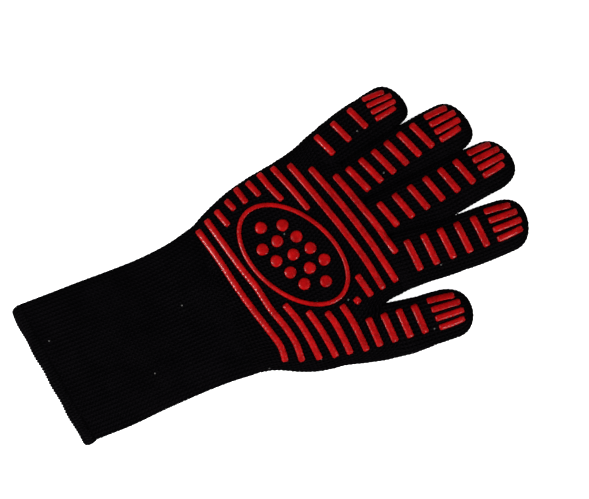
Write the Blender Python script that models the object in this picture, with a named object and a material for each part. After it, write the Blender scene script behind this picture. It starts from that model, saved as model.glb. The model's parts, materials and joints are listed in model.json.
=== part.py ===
"""Heat resistant glove for the right hand: knitted shell, soft liner and silicone grip bars.

The glove lies on its back. +Y runs to the fingertips, +X to the thumb and +Z out of the palm.
The origin is on the flat back of the hand, under the middle of the palm. Plan sizes are in millimetres
and are turned into metres where a mesh is made.
"""

import math

import bmesh
import bpy
from mathutils import Vector
from mathutils.bvhtree import BVHTree

MM = 0.001

# Layers, from the outside in
KNIT = 2.0
LAYER_GAP = 0.3
LINING = 1.5

# Cross sections
SQUARENESS = 2.6
WAIST = 0.46
SOLE = 1.25
PALM_SIDES = 24
FINGER_SIDES = 12
FINGER_BASE_Z = 0.3

# Joints
HINGE_GAP = 0.3
FINGER_GAP = 2.0
WRIST_Y = -48.0
FINGER_HEIGHT = 17.0
TIP_ROUNDING = 17.0

# Silicone
SEAT_GAP = 0.35
BAR_WIDTH = 4.0
TIP_BAR_WIDTH = 3.4
BAR_HEIGHT = 1.2
FILM_WIDTH = 1.6
FILM_HEIGHT = 0.6
FILM_LIFT = 0.15
OVAL_CENTRE = (-1.75, 8.5)
OVAL_HALF = (42.0, 25.4)
OVAL_TILT = math.radians(26.5)
OVAL_BEAD = 2.8
DOT_RADIUS = 3.8
DOT_ROWS = ((-10.5, (-18.0, -6.0, 6.0, 18.0)), (0.0, (-28.0, -14.0, 0.0, 14.0, 28.0)),
            (10.5, (-18.0, -6.0, 6.0, 18.0)))

# Edges in plan: x at three values of y, read as a parabola
LITTLE_EDGE = ((-73.0, 58.0), (-77.8, 78.0), (-81.5, 104.0))
LITTLE_RING = ((-45.0, 68.0), (-49.2, 92.0), (-52.4, 116.0))
RING_MIDDLE = ((-16.4, 70.0), (-17.6, 105.0), (-19.2, 143.0))
MIDDLE_RIGHT = ((12.8, 80.0), (18.2, 117.0), (15.0, 156.0))
INDEX_LEFT = ((12.8, 80.0), (18.7, 117.0), (21.3, 148.0))
INDEX_EDGE = ((51.9, 70.0), (54.6, 104.0), (56.8, 140.0))
THUMB_INNER = ((54.0, 51.0), (58.0, 72.0), (61.2, 92.0))
THUMB_OUTER = ((91.5, 50.0), (93.2, 72.0), (94.2, 92.0))

# name: left edge, right edge, inner gap on the left and right, root hinge y, middle hinge y, tip y
FINGERS = {
    "little": (LITTLE_EDGE, LITTLE_RING, 0.0, FINGER_GAP / 2, 64.4, 89.2, 118.0),
    "ring": (LITTLE_RING, RING_MIDDLE, FINGER_GAP / 2, FINGER_GAP / 2, 73.0, 103.6, 152.0),
    "middle": (RING_MIDDLE, MIDDLE_RIGHT, FINGER_GAP / 2, FINGER_GAP / 2, 82.6, 116.8, 168.8),
    "index": (INDEX_LEFT, INDEX_EDGE, FINGER_GAP / 2, 0.0, 87.0, 110.0, 161.5),
    "thumb": (THUMB_INNER, THUMB_OUTER, 0.5, 0.0, 52.0, 72.4, 104.0),
}

# left point, right point, top height
CUFF = (
    ((-46.0, -171.5), (57.4, -162.8), 15.5),
    ((-43.6, -126.0), (58.2, -126.0), 15.5),
    ((-42.0, -84.0), (58.2, -84.0), 15.5),
    ((-44.2, -58.0), (60.0, -58.0), 16.0),
    ((-46.5, WRIST_Y), (61.5, WRIST_Y), 16.0),
)
PALM = (
    ((-46.5, WRIST_Y), (61.5, WRIST_Y), 16.0),
    ((-52.0, -36.0), (64.5, -36.0), 17.5),
    ((-58.3, -18.0), (74.0, -18.0), 19.5),
    ((-61.8, 0.0), (79.5, 0.0), 20.5),
    ((-64.0, 20.0), (80.0, 20.0), 20.5),
    ((-68.0, 40.0), (66.0, 36.0), 19.5),
    ((-71.0, 49.0), (53.0, 50.0), 18.0),
    ((-72.6, 57.0), (51.0, 77.0), 14.5),
)
THUMB_MOUND = (
    ((12.0, -24.0), (69.0, -24.0), 14.0),
    ((22.0, 0.0), (78.0, 0.0), 17.0),
    ((36.0, 22.0), (85.0, 22.0), 18.5),
    ((47.0, 38.0), (89.4, 38.0), 18.0),
    ((54.5, 52.0), (91.6, 52.0), FINGER_HEIGHT),
)
# points along each bar of the palm, from the wrist upwards and from left to right
PALM_BARS = (
    ((-43.0, -43.4), (-20.0, -38.6), (5.0, -34.5), (25.0, -30.2), (40.0, -26.5), (51.0, -24.4), (61.0, -25.5)),
    ((-47.0, -35.4), (-25.0, -30.8), (-5.0, -26.4), (8.0, -23.0), (25.0, -20.3), (40.0, -16.2), (52.0, -14.3),
     (66.0, -15.2)),
    ((-50.0, -27.0), (-37.0, -23.0)),
    ((26.0, -10.5), (40.0, -6.6), (54.0, -4.7), (69.5, -4.0)),
    ((-53.5, -18.0), (-45.0, -15.0)),
    ((36.5, 1.8), (50.0, 4.5), (62.0, 5.9), (72.5, 6.6)),
    ((-57.0, -8.8), (-46.0, -6.0)),
    ((42.0, 13.0), (50.0, 14.9), (62.0, 16.0), (74.5, 16.3)),
    ((-58.4, 0.2), (-46.8, 4.0)),
    ((42.0, 24.0), (52.0, 25.8), (65.0, 26.7), (77.0, 27.0)),
    ((-59.4, 9.7), (-49.0, 12.6), (-37.8, 16.5)),
    ((41.5, 34.0), (45.8, 35.6)),
    ((-60.0, 19.5), (-43.0, 25.0), (-25.0, 30.0)),
    ((28.0, 41.5), (45.0, 44.8)),
    ((-58.0, 30.3), (-30.0, 38.3), (0.0, 46.3), (22.0, 51.1), (44.0, 54.2)),
    ((-50.0, 42.3), (-20.0, 51.3), (10.0, 58.6), (43.0, 64.0)),
    ((-39.0, 55.3), (-18.0, 61.5), (5.0, 67.5), (25.5, 71.6)),
)

# first rung centre, last rung centre, number of rungs, tilt in degrees, length
RUNGS = {
    "little": ((-59.3, 57.1), (-66.9, 84.2), 3, 18.0, 17.0),
    "ring": ((-29.9, 68.0), (-38.7, 118.8), 6, 17.5, 20.6),
    "middle": ((-0.4, 76.8), (-5.2, 134.6), 6, 14.0, 19.6),
    "index": ((31.4, 81.3), (34.8, 128.2), 5, 1.2, 21.4),
    "thumb": ((67.5, 36.8), (71.6, 67.4), 4, 0.0, 20.0),
}

# foot of the first and the last tip bar, direction of the bars in degrees, short and long bar
TIP_BARS = {
    "little": ((-76.0, 92.2), (-62.2, 95.2), 94.0, 13.5, 17.0),
    "ring": ((-48.8, 125.6), (-31.6, 128.8), 94.0, 14.0, 17.0),
    "middle": ((-13.4, 142.6), (3.4, 145.4), 93.0, 14.0, 17.5),
    "index": ((26.2, 136.4), (46.4, 136.6), 89.0, 15.0, 18.5),
    "thumb": ((65.0, 77.2), (83.0, 76.9), 84.0, 15.0, 18.5),
}


def clear_scene():
    for item in list(bpy.data.objects):
        bpy.data.objects.remove(item, do_unlink=True)


def make_material(name, color, roughness):
    material = bpy.data.materials.new(name)
    material.use_nodes = True
    shader = material.node_tree.nodes["Principled BSDF"]
    shader.inputs["Base Color"].default_value = (*color, 1.0)
    shader.inputs["Roughness"].default_value = roughness
    shader.inputs["Metallic"].default_value = 0.0
    return material


def signed_power(value, exponent):
    return math.copysign(abs(value) ** exponent, value)


def edge_x(edge, y):
    """x of a plan edge at y: the parabola through the edge's three points."""
    total = 0.0
    for i, (x_i, y_i) in enumerate(edge):
        weight = 1.0
        for j, (_, y_j) in enumerate(edge):
            if j != i:
                weight *= (y - y_j) / (y_i - y_j)
        total += weight * x_i
    return total


def ring(left, right, base, top, inset, sides):
    """Points round an upright cross section from left to right, flat underneath."""
    left = Vector(left)
    right = Vector(right)
    across = (right - left).normalized()
    half = (right - left).length / 2 - inset
    centre = (left + right) / 2
    low = base + inset
    high = top - inset
    middle = low + (high - low) * WAIST
    points = []
    for step in range(sides):
        angle = 2 * math.pi * step / sides
        reach = half * signed_power(math.cos(angle), 2 / SQUARENESS)
        rise = signed_power(math.sin(angle), 2 / SQUARENESS)
        if rise >= 0:
            z = middle + (high - middle) * rise
        else:
            z = max(low, middle + (middle - low) * SOLE * rise)
        spot = centre + across * reach
        points.append(Vector((spot.x, spot.y, z)))
    return points


def build_mesh(name, bm):
    """A mesh data block in metres, with its faces pointing out."""
    bmesh.ops.recalc_face_normals(bm, faces=bm.faces)
    bmesh.ops.scale(bm, vec=(MM, MM, MM), verts=bm.verts)
    mesh = bpy.data.meshes.new(name)
    bm.to_mesh(mesh)
    bm.free()
    return mesh


def link_object(name, mesh, material=None):
    piece = bpy.data.objects.new(name, mesh)
    if material is not None:
        piece.data.materials.append(material)
    bpy.context.collection.objects.link(piece)
    return piece


def skin(bm, rings):
    """Vertices of each ring, with triangles between neighbouring rings, all split the same way."""
    rows = [[bm.verts.new(point) for point in points] for points in rings]
    for near, far in zip(rows, rows[1:]):
        for i in range(len(near)):
            j = (i + 1) % len(near)
            bm.faces.new((near[i], near[j], far[j]))
            bm.faces.new((near[i], far[j], far[i]))
    return rows


def loft(name, rings, material=None):
    """A solid through the rings."""
    bm = bmesh.new()
    rows = skin(bm, rings)
    bm.faces.new(rows[0])
    bm.faces.new(rows[-1])
    return link_object(name, build_mesh(name, bm), material)


def tube(name, outer, inner, material, closed_end=False):
    """A hollow loft, open at its first ring and, unless closed_end is set, at its last."""
    bm = bmesh.new()
    outer_rows = skin(bm, outer)
    inner_rows = skin(bm, inner)
    mouths = [0] if closed_end else [0, -1]
    for end in mouths:
        rim = outer_rows[end]
        bore = inner_rows[end]
        for i in range(len(rim)):
            j = (i + 1) % len(rim)
            bm.faces.new((rim[i], rim[j], bore[j], bore[i]))
    if closed_end:
        bm.faces.new(outer_rows[-1])
        bm.faces.new(inner_rows[-1])
    return link_object(name, build_mesh(name, bm), material)


def boolean(target, tools, operation):
    """Applies one exact Boolean for each tool to the target's mesh and removes the tools."""
    for tool in tools:
        tool.hide_render = True
        tool.display_type = "WIRE"
        modifier = target.modifiers.new(tool.name, "BOOLEAN")
        modifier.operation = operation
        modifier.solver = "EXACT"
        modifier.object = tool
    bpy.context.view_layer.update()
    graph = bpy.context.evaluated_depsgraph_get()
    mesh = bpy.data.meshes.new_from_object(target.evaluated_get(graph))
    target.modifiers.clear()
    target.data = mesh
    for tool in tools:
        bpy.data.objects.remove(tool, do_unlink=True)
    bm = bmesh.new()
    bm.from_mesh(target.data)
    bmesh.ops.remove_doubles(bm, verts=bm.verts, dist=1e-6)
    bmesh.ops.dissolve_degenerate(bm, edges=bm.edges, dist=1e-6)
    bm.to_mesh(target.data)
    bm.free()


def shift_end(rings, index, distance):
    """Moves one ring along y."""
    for point in rings[index]:
        point.y += distance


def section_rings(sections, inset, sides, base=0.0):
    return [ring(left, right, base, top, inset, sides) for left, right, top in sections]


def finger_ring(finger, y, inset, squeeze=1.0, top=FINGER_HEIGHT):
    """The cross section of a finger at y, rounded off towards its tip."""
    left_edge, right_edge, left_gap, right_gap, _, _, tip_y = FINGERS[finger]
    left = edge_x(left_edge, y) + left_gap
    right = edge_x(right_edge, y) - right_gap
    end = tip_y - inset
    start = tip_y - TIP_ROUNDING
    base = FINGER_BASE_Z
    if y > start:
        along = min((y - start) / (end - start), 1.0)
        round_off = (1 - along**2.2) ** (1 / 2.2)
        middle = (left + right) / 2
        half = (right - left) / 2 - inset
        left = middle - half * round_off - inset
        right = middle + half * round_off + inset
        flat = 0.35 + 0.65 * round_off
        centre = base + (top - base) * WAIST
        top = centre + (top - inset - centre) * flat + inset
        base = centre - (centre - base - inset) * flat - inset
    centre = (left + right) / 2
    half = (right - left) / 2 * squeeze
    return ring((centre - half, y), (centre + half, y), base, top, inset, FINGER_SIDES)


def finger_stations(finger, body):
    """The y values at which a finger's base or tip is drawn."""
    root_y, knuckle_y, tip_y = FINGERS[finger][4:]
    if body == "base":
        return [root_y + HINGE_GAP / 2, (root_y + knuckle_y) / 2, knuckle_y - HINGE_GAP / 2]
    straight_end = tip_y - TIP_ROUNDING
    return [knuckle_y + HINGE_GAP / 2, (knuckle_y + straight_end) / 2, straight_end]


def tip_stations(finger, inset):
    """The y values through a rounded tip, closer together towards its end."""
    end = FINGERS[finger][6] - inset
    start = FINGERS[finger][6] - TIP_ROUNDING
    return [start + (end - start) * part for part in (0.5, 0.8, 0.95)]


def finger_tube(name, finger, body, outer_inset, inner_inset, material):
    walls = []
    for inset in (outer_inset, inner_inset):
        stations = finger_stations(finger, body)
        if body == "tip":
            stations += tip_stations(finger, inset)
        walls.append([finger_ring(finger, y, inset) for y in stations])
    return tube(name, walls[0], walls[1], material, closed_end=body == "tip")


def hand_solid(name, inset, overrun):
    """The palm with its five finger stubs as one solid, every wall moved in by inset.

    overrun lets a cutter run past the wrist and the finger hinges.
    """
    rings = section_rings(PALM, inset, PALM_SIDES)
    shift_end(rings, 0, HINGE_GAP / 2 - overrun)
    shift_end(rings, -1, -inset)
    hand = loft(name, rings)
    stubs = []
    mound = section_rings(THUMB_MOUND, inset, FINGER_SIDES, FINGER_BASE_Z)
    shift_end(mound, 0, inset)
    shift_end(mound, -1, overrun - HINGE_GAP / 2)
    stubs.append(loft(name + "_thumb", mound))
    for finger in ("little", "ring", "middle", "index"):
        root_y = FINGERS[finger][4]
        drawn = [
            finger_ring(finger, root_y - 26 + inset, inset, 0.86, 13.5),
            finger_ring(finger, root_y - 9, inset),
            finger_ring(finger, root_y - HINGE_GAP / 2 + overrun, inset),
        ]
        stubs.append(loft(f"{name}_{finger}", drawn))
    boolean(hand, stubs, "UNION")
    return hand


def make_hand_layer(name, outer_inset, inner_inset, material):
    layer = hand_solid(name, outer_inset, 0.0)
    boolean(layer, [hand_solid(name + "_hollow", inner_inset, 2.0)], "DIFFERENCE")
    layer.data.materials.clear()
    layer.data.materials.append(material)
    return layer


def make_cuff_layer(name, outer_inset, inner_inset, material):
    outer = section_rings(CUFF, outer_inset, PALM_SIDES)
    inner = section_rings(CUFF, inner_inset, PALM_SIDES)
    shift_end(outer, -1, -HINGE_GAP / 2)
    shift_end(inner, -1, -HINGE_GAP / 2)
    return tube(name, outer, inner, material)


def make_hem(material):
    """The rolled edge of the cuff: a band a little fatter than the cuff, over its end."""
    (left_x, left_y), (right_x, right_y), top = CUFF[0]
    outer = []
    inner = []
    for back, bulge in ((0.3, 0.4), (2.2, 1.0), (6.0, 1.0), (8.4, -0.4)):
        left = (left_x - bulge * 0.6, left_y - back)
        right = (right_x + bulge * 0.6, right_y - back)
        outer.append(ring(left, right, 0.0, top + bulge, 0.0, PALM_SIDES))
        inner.append(ring(left, right, 0.0, top + bulge, KNIT + 0.8 + bulge / 2, PALM_SIDES))
    return tube("cuff_hem", outer, inner, material)


def surface_of(piece):
    """Height of a piece's top over a plan point, as a function."""
    bm = bmesh.new()
    bm.from_mesh(piece.data)
    tree = BVHTree.FromBMesh(bm)
    bm.free()

    def height(x, y):
        hit = tree.ray_cast(Vector((x * MM, y * MM, 0.1)), Vector((0, 0, -1)))
        return None if hit[0] is None else hit[0].z / MM

    return height


def strip_sides(path, closed):
    """Unit vectors across a plan path, one for each of its points."""
    sides = []
    count = len(path)
    for i in range(count):
        before = path[(i - 1) % count] if closed or i > 0 else path[i]
        after = path[(i + 1) % count] if closed or i < count - 1 else path[i]
        along = (Vector(after) - Vector(before)).normalized()
        sides.append(Vector((-along.y, along.x)))
    return sides


def strip_grounds(edges, height_of, closed):
    """Heights under a strip's left and right edges, raised where the knit bulges between stations."""
    middles = [height_of(*((left + right) / 2)) for left, right in edges]
    grounds = []
    for pair, middle in zip(edges, middles):
        heights = [height_of(*place) for place in pair]
        grounds.append([middle if z is None else max(z, middle - 2.0) for z in heights])
    raises = [0.0] * len(edges)
    quarters = (0.0, 0.25, 0.5, 0.75, 1.0)
    last = len(edges) if closed else len(edges) - 1
    for i in range(last):
        j = (i + 1) % len(edges)
        for t in quarters:
            left = edges[i][0].lerp(edges[j][0], t)
            right = edges[i][1].lerp(edges[j][1], t)
            left_z = grounds[i][0] * (1 - t) + grounds[j][0] * t
            right_z = grounds[i][1] * (1 - t) + grounds[j][1] * t
            for across in quarters:
                z = height_of(*left.lerp(right, across))
                if z is not None:
                    excess = z - (left_z * (1 - across) + right_z * across)
                    raises[i] = max(raises[i], excess)
                    raises[j] = max(raises[j], excess)
    return [[z + up for z in pair] for pair, up in zip(grounds, raises)]


def bead(name, path, width, height_of, thickness, closed=False, lift=0.0):
    """A low silicone strip along a plan path, seated just above the knit and narrowed at its ends."""
    edges = []
    for spot, side in zip(path, strip_sides(path, closed)):
        end_distance = min((Vector(spot) - Vector(end)).length for end in (path[0], path[-1]))
        half = width / 2 if closed or end_distance > 0.9 else width / 4
        edges.append([Vector(spot) - side * half, Vector(spot) + side * half])
    rings = []
    for (left, right), (left_z, right_z) in zip(edges, strip_grounds(edges, height_of, closed)):
        section = []
        for across, rise in ((0.0, lift), (1.0, lift), (0.8, thickness), (0.2, thickness)):
            place = left.lerp(right, across)
            ground = left_z * (1 - across) + right_z * across
            section.append(Vector((place.x, place.y, ground + SEAT_GAP + rise)))
        rings.append(section)
    bm = bmesh.new()
    rows = skin(bm, rings + rings[:1]) if closed else skin(bm, rings)
    if closed:
        bmesh.ops.remove_doubles(bm, verts=bm.verts, dist=1e-5)
    else:
        bm.faces.new(rows[0])
        bm.faces.new(rows[-1])
    return link_object(name, build_mesh(name, bm))


def film(name, path, height_of, level=1):
    """A thin strip that joins prints. Each level sits a little higher, so crossing films differ."""
    lift = FILM_LIFT * level
    return bead(name, path, FILM_WIDTH, height_of, FILM_HEIGHT + lift / 2, lift=lift)


def straight(start, end, pitch=5.0):
    """Points from start to end, with a short step at each end for the rounding."""
    start = Vector(start)
    end = Vector(end)
    length = (end - start).length
    steps = max(1, round((length - 2.4) / pitch))
    marks = [0.0, 1.2] + [1.2 + (length - 2.4) * k / steps for k in range(1, steps)]
    marks += [length - 1.2, length]
    return [tuple(start + (end - start) * mark / length) for mark in marks]


def oval_point(reach_u, reach_v):
    """Plan point at (u, v) in the oval's own axes."""
    x = OVAL_CENTRE[0] + reach_u * math.cos(OVAL_TILT) - reach_v * math.sin(OVAL_TILT)
    y = OVAL_CENTRE[1] + reach_u * math.sin(OVAL_TILT) + reach_v * math.cos(OVAL_TILT)
    return (x, y)


def curve_y(points, x):
    """y at x on a smooth curve through points that run from left to right."""
    last = len(points) - 1
    i = 0
    while i < last - 1 and x > points[i + 1][0]:
        i += 1
    slopes = []
    for k in (i, i + 1):
        before = points[max(k - 1, 0)]
        after = points[min(k + 1, last)]
        slopes.append((after[1] - before[1]) / (after[0] - before[0]))
    width = points[i + 1][0] - points[i][0]
    t = (x - points[i][0]) / width
    return ((2 * t**3 - 3 * t**2 + 1) * points[i][1] + (t**3 - 2 * t**2 + t) * width * slopes[0]
            + (3 * t**2 - 2 * t**3) * points[i + 1][1] + (t**3 - t**2) * width * slopes[1])


def bar_path(points):
    """A bar's path, with a station about every 6 mm and one close to each rounded end."""
    start = points[0][0]
    length = points[-1][0] - start
    steps = max(1, round(length / 6))
    marks = [0.0, 1.2] + [length * k / steps for k in range(1, steps)] + [length - 1.2, length]
    return [(start + mark, curve_y(points, start + mark)) for mark in marks]


def make_palm_bars(height_of, material):
    names = []
    for number, points in enumerate(PALM_BARS, start=1):
        name = f"palm_bar_{number:02d}"
        piece = bead(name, bar_path(points), BAR_WIDTH, height_of, BAR_HEIGHT)
        piece.data.materials.append(material)
        names.append(name)
    return names


def make_oval_ring(height_of, material):
    steps = 48
    path = []
    for k in range(steps):
        angle = 2 * math.pi * k / steps
        path.append(oval_point(OVAL_HALF[0] * math.cos(angle), OVAL_HALF[1] * math.sin(angle)))
    piece = bead("oval_ring", path, OVAL_BEAD, height_of, BAR_HEIGHT, closed=True)
    piece.data.materials.append(material)


def make_dot(u, v, height_of):
    """A round grip dot that follows the knit below it."""
    centre = oval_point(u, v)
    rings = []
    for radius, lift in ((DOT_RADIUS, 0.0), (DOT_RADIUS * 0.7, BAR_HEIGHT)):
        points = []
        for k in range(8):
            angle = 2 * math.pi * k / 8
            x = centre[0] + radius * math.cos(angle)
            y = centre[1] + radius * math.sin(angle)
            points.append(Vector((x, y, height_of(x, y) + SEAT_GAP + lift)))
        rings.append(points)
    return loft("dot", rings)


def make_grip_dots(height_of, material):
    """Three staggered rows of round dots inside the oval, held together by thin films."""
    spine = straight(oval_point(0.0, DOT_ROWS[0][0] - 0.8), oval_point(0.0, DOT_ROWS[-1][0] + 0.8))
    web = film("grip_dots", spine, height_of, 2)
    extras = []
    for v, places in DOT_ROWS:
        path = straight(oval_point(places[0], v), oval_point(places[-1], v))
        extras.append(film("row_film", path, height_of))
        extras += [make_dot(u, v, height_of) for u in places]
    boolean(web, extras, "UNION")
    web.data.materials.clear()
    web.data.materials.append(material)


def rung_centres(finger):
    first, last, count = RUNGS[finger][:3]
    first = Vector(first)
    last = Vector(last)
    return [first + (last - first) * k / (count - 1) for k in range(count)]


def rung(name, finger, centre, height_of):
    tilt = math.radians(RUNGS[finger][3])
    reach = Vector((math.cos(tilt), math.sin(tilt))) * RUNGS[finger][4] / 2
    return bead(name, straight(centre - reach, centre + reach), BAR_WIDTH, height_of, BAR_HEIGHT)


def make_palm_rungs(height_of, material):
    """The rungs that lie before each finger's root hinge, so they stay with the palm."""
    names = []
    for finger in FINGERS:
        root_y = FINGERS[finger][4]
        centres = [c for c in rung_centres(finger) if c.y < root_y]
        for k, centre in enumerate(centres, start=1):
            name = f"{finger}_root_rung_{k}"
            piece = rung(name, finger, centre, height_of)
            piece.data.materials.append(material)
            names.append(name)
    return names


def make_base_grip(finger, height_of, material):
    """The rungs of a finger's base, joined by a thin film down the middle."""
    root_y, knuckle_y = FINGERS[finger][4:6]
    centres = [c for c in rung_centres(finger) if root_y < c.y < knuckle_y]
    web = film(f"{finger}_base_grip", straight(centres[0], centres[-1]), height_of)
    boolean(web, [rung("rung", finger, centre, height_of) for centre in centres], "UNION")
    web.data.materials.clear()
    web.data.materials.append(material)


def make_tip_grip(finger, height_of, material):
    """The rungs and the lengthwise bars of a fingertip, joined by thin films."""
    knuckle_y = FINGERS[finger][5]
    first, last, direction, short, long = TIP_BARS[finger]
    first = Vector(first)
    last = Vector(last)
    heading = Vector((math.cos(math.radians(direction)), math.sin(math.radians(direction))))
    feet = [first + (last - first) * k / 3 for k in range(4)]
    pieces = []
    for foot, length in zip(feet, (short, long, long, short)):
        path = straight(foot, foot + heading * length)
        pieces.append(bead("tip_bar", path, TIP_BAR_WIDTH, height_of, BAR_HEIGHT))
    centres = [c for c in rung_centres(finger) if c.y > knuckle_y]
    pieces += [rung("rung", finger, centre, height_of) for centre in centres]
    across = straight(first + heading * 3, last + heading * 3)
    web = film(f"{finger}_tip_grip", across, height_of, 2)
    if centres:
        spine = straight(centres[0], (first + last) / 2 + heading * 4)
        pieces.append(film("spine", spine, height_of))
    boolean(web, pieces, "UNION")
    web.data.materials.clear()
    web.data.materials.append(material)


def add_hinge(name, place, parent=None):
    """An empty on a hinge's axis. Its children turn about it."""
    hinge = bpy.data.objects.new(name, None)
    bpy.context.collection.objects.link(hinge)
    place = Vector(place) * MM
    if parent is not None:
        hinge.parent = parent
        place = place - parent.matrix_world.translation
    hinge.location = place
    bpy.context.view_layer.update()
    return hinge


def hang_on(hinge, names):
    """Parents pieces to a hinge and leaves them where they are."""
    for name in names:
        piece = bpy.data.objects[name]
        piece.parent = hinge
        piece.location = -hinge.matrix_world.translation


def hinge_place(finger, y):
    middle = (edge_x(FINGERS[finger][0], y) + edge_x(FINGERS[finger][1], y)) / 2
    return (middle, y, FINGER_HEIGHT)


def build():
    clear_scene()
    knit = make_material("black_knit", (0.006, 0.006, 0.008), 0.9)
    hem_knit = make_material("black_hem_knit", (0.009, 0.009, 0.011), 0.9)
    lining = make_material("cotton_lining", (0.62, 0.60, 0.55), 0.95)
    silicone = make_material("red_silicone", (0.42, 0.006, 0.008), 0.32)

    liner_out = KNIT + LAYER_GAP
    liner_in = liner_out + LINING
    palm = make_hand_layer("palm_shell", 0.0, KNIT, knit)
    make_hand_layer("palm_liner", liner_out, liner_in, lining)
    make_cuff_layer("cuff_shell", 0.0, KNIT, knit)
    make_cuff_layer("cuff_liner", liner_out, liner_in, lining)
    make_hem(hem_knit)
    wrist = add_hinge("wrist_hinge", (0.0, WRIST_Y, CUFF[-1][2]))
    hang_on(wrist, ["cuff_shell", "cuff_liner", "cuff_hem"])

    on_palm = surface_of(palm)
    make_palm_bars(on_palm, silicone)
    make_oval_ring(on_palm, silicone)
    make_grip_dots(on_palm, silicone)
    make_palm_rungs(on_palm, silicone)

    for finger in FINGERS:
        root_y, knuckle_y = FINGERS[finger][4:6]
        for body in ("base", "tip"):
            shell = finger_tube(f"{finger}_{body}_shell", finger, body, 0.0, KNIT, knit)
            finger_tube(f"{finger}_{body}_liner", finger, body, liner_out, liner_in, lining)
            on_finger = surface_of(shell)
            if body == "base":
                make_base_grip(finger, on_finger, silicone)
            else:
                make_tip_grip(finger, on_finger, silicone)
        root = add_hinge(f"{finger}_root_hinge", hinge_place(finger, root_y))
        knuckle = add_hinge(f"{finger}_middle_hinge", hinge_place(finger, knuckle_y), root)
        hang_on(root, [f"{finger}_base_{part}" for part in ("shell", "liner", "grip")])
        hang_on(knuckle, [f"{finger}_tip_{part}" for part in ("shell", "liner", "grip")])

    for piece in bpy.data.objects:
        if piece.type == "MESH":
            piece.data.shade_smooth()
            piece.data.set_sharp_from_angle(angle=math.radians(40))


build()
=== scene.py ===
"""Looks of the heat resistant glove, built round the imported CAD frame.

Plan sizes are in millimetres, in the frame's own axes: +Y to the fingertips, +X to the thumb, +Z up out
of the palm. Meshes are made in metres.
"""

import json
import math

import bmesh
import bpy
import numpy as np
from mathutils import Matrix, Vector
from mathutils.bvhtree import BVHTree


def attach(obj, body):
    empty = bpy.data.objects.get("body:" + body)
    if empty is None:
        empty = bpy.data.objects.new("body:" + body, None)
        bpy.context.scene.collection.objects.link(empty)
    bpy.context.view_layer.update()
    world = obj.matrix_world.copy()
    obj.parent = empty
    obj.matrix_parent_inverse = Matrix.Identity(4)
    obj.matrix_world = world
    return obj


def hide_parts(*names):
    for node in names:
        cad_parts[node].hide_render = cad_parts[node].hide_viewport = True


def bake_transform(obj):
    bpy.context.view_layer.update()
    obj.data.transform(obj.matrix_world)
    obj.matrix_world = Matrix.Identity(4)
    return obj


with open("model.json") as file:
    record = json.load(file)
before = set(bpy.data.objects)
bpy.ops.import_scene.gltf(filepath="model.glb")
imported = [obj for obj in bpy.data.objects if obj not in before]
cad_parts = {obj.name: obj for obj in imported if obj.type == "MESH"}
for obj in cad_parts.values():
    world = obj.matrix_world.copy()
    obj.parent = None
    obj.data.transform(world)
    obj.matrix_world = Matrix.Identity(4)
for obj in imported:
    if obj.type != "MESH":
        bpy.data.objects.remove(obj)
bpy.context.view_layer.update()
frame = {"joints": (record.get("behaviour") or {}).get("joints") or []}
JOINTS = {joint["name"]: joint for joint in frame["joints"]}

MM = 0.001
# Cross sections: how square they are, at what share of the height they are widest, how flat they lie below
SQUARENESS = 2.6
WAIST = 0.46
SOLE = 1.25
LINER_INSET = 2.6
FLOOR_GAP = 0.05

# Knit: a wale is a column of stitches, a course is a row of them. A level is the share of the relief that
# lies at the smooth surface.
WALE = 2.8
COURSE = 2.7
STITCH_HEIGHT = 1.05
STITCH_LEVEL = 0.7
RIB = 3.05
RIB_HEIGHT = 1.3
RIB_LEVEL = 0.6
ROWS_PER_COURSE = 3
COLUMNS_PER_WALE = 4
COLUMNS_PER_RIB = 6
RIB_ROW_STEP = 1.6
CUFF_GIRTH = 228.0
HEM_PITCH = 2.2
HEM_WRAPS = 104

# Shape of the hand in plan: each finger's left and right edge as points (x, y)
FINGER_EDGES = {
    "little": (
        ((-71.0, 50.0), (-74.8, 66.0), (-78.3, 82.0), (-80.6, 97.0), (-81.3, 106.0), (-81.3, 119.0)),
        ((-42.0, 52.0), (-45.0, 68.0), (-48.4, 88.0), (-51.2, 106.0), (-51.8, 119.0)),
    ),
    "ring": (
        ((-42.0, 52.0), (-45.0, 68.0), (-48.4, 88.0), (-51.0, 106.0), (-53.4, 130.0), (-54.0, 153.0)),
        ((-15.8, 56.0), (-16.8, 85.0), (-18.1, 115.0), (-19.0, 138.0), (-19.4, 153.0)),
    ),
    "middle": (
        ((-15.8, 56.0), (-16.8, 85.0), (-18.1, 115.0), (-18.6, 138.0), (-18.4, 170.0)),
        ((10.4, 60.0), (13.1, 80.0), (16.8, 100.0), (18.6, 116.0), (17.6, 124.0), (16.4, 136.0),
         (14.9, 156.0), (14.4, 170.0)),
    ),
    "index": (
        ((10.4, 60.0), (13.2, 80.0), (17.0, 100.0), (18.8, 116.0), (19.5, 124.0), (20.3, 135.0),
         (21.5, 148.0), (21.7, 163.0)),
        ((53.0, 50.0), (51.8, 65.0), (51.8, 76.0), (53.1, 90.0), (54.6, 105.0), (56.0, 121.0), (56.6, 163.0)),
    ),
    "thumb": (
        ((49.0, 40.0), (53.5, 51.0), (57.0, 66.0), (60.0, 84.0), (61.5, 95.0), (62.0, 104.0)),
        ((90.5, 40.0), (91.6, 50.0), (92.5, 64.0), (93.6, 78.0), (94.4, 90.0), (94.4, 104.0)),
    ),
}
# y where a finger's tube starts inside the palm, tip y, lean of the tip to the right
FINGER_ENDS = {
    "little": (51.0, 118.4, 4.5),
    "ring": (56.0, 152.2, 4.5),
    "middle": (61.0, 168.8, 3.0),
    "index": (66.0, 161.8, -3.0),
    "thumb": (44.0, 103.2, -1.0),
}
FINGERS = tuple(FINGER_EDGES)
FINGER_HEIGHT = 17.0
FINGER_BASE_Z = 0.3
FINGER_FULLNESS = 0.5
TIP_ROUNDING = 16.0
TIP_POWER = 2.15

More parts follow.
